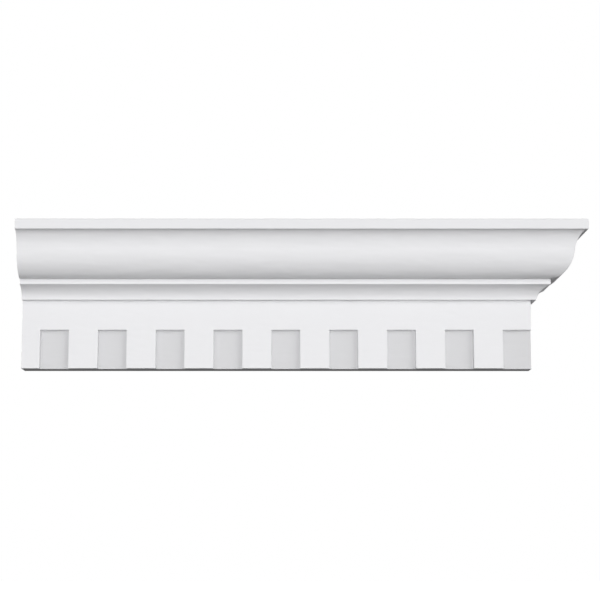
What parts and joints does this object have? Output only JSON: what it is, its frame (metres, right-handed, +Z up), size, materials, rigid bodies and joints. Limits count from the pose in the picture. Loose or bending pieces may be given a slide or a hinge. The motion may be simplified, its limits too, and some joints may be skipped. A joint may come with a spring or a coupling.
{
  "type": "cornice moulding length",
  "caption": "White crown and dentil cornice length with an ogee, cove and plain frieze, cut square at one end and mitred back to the wall at the other.",
  "frame": {"origin": "on the flat back, midway along the plain frieze and at mid height", "axes": "+X along the moulding from the square-cut end to the returned end, +Y into the wall, +Z up; the moulded face looks along -Y"},
  "size_m": [0.9068, 0.1146, 0.2286],
  "materials": {
    "primed_white": "smooth white factory primer on rigid polyurethane foam, low satin"
  },
  "bodies": {
    "root": {"cornice_length": "primed_white"}
  },
  "joints": []
}
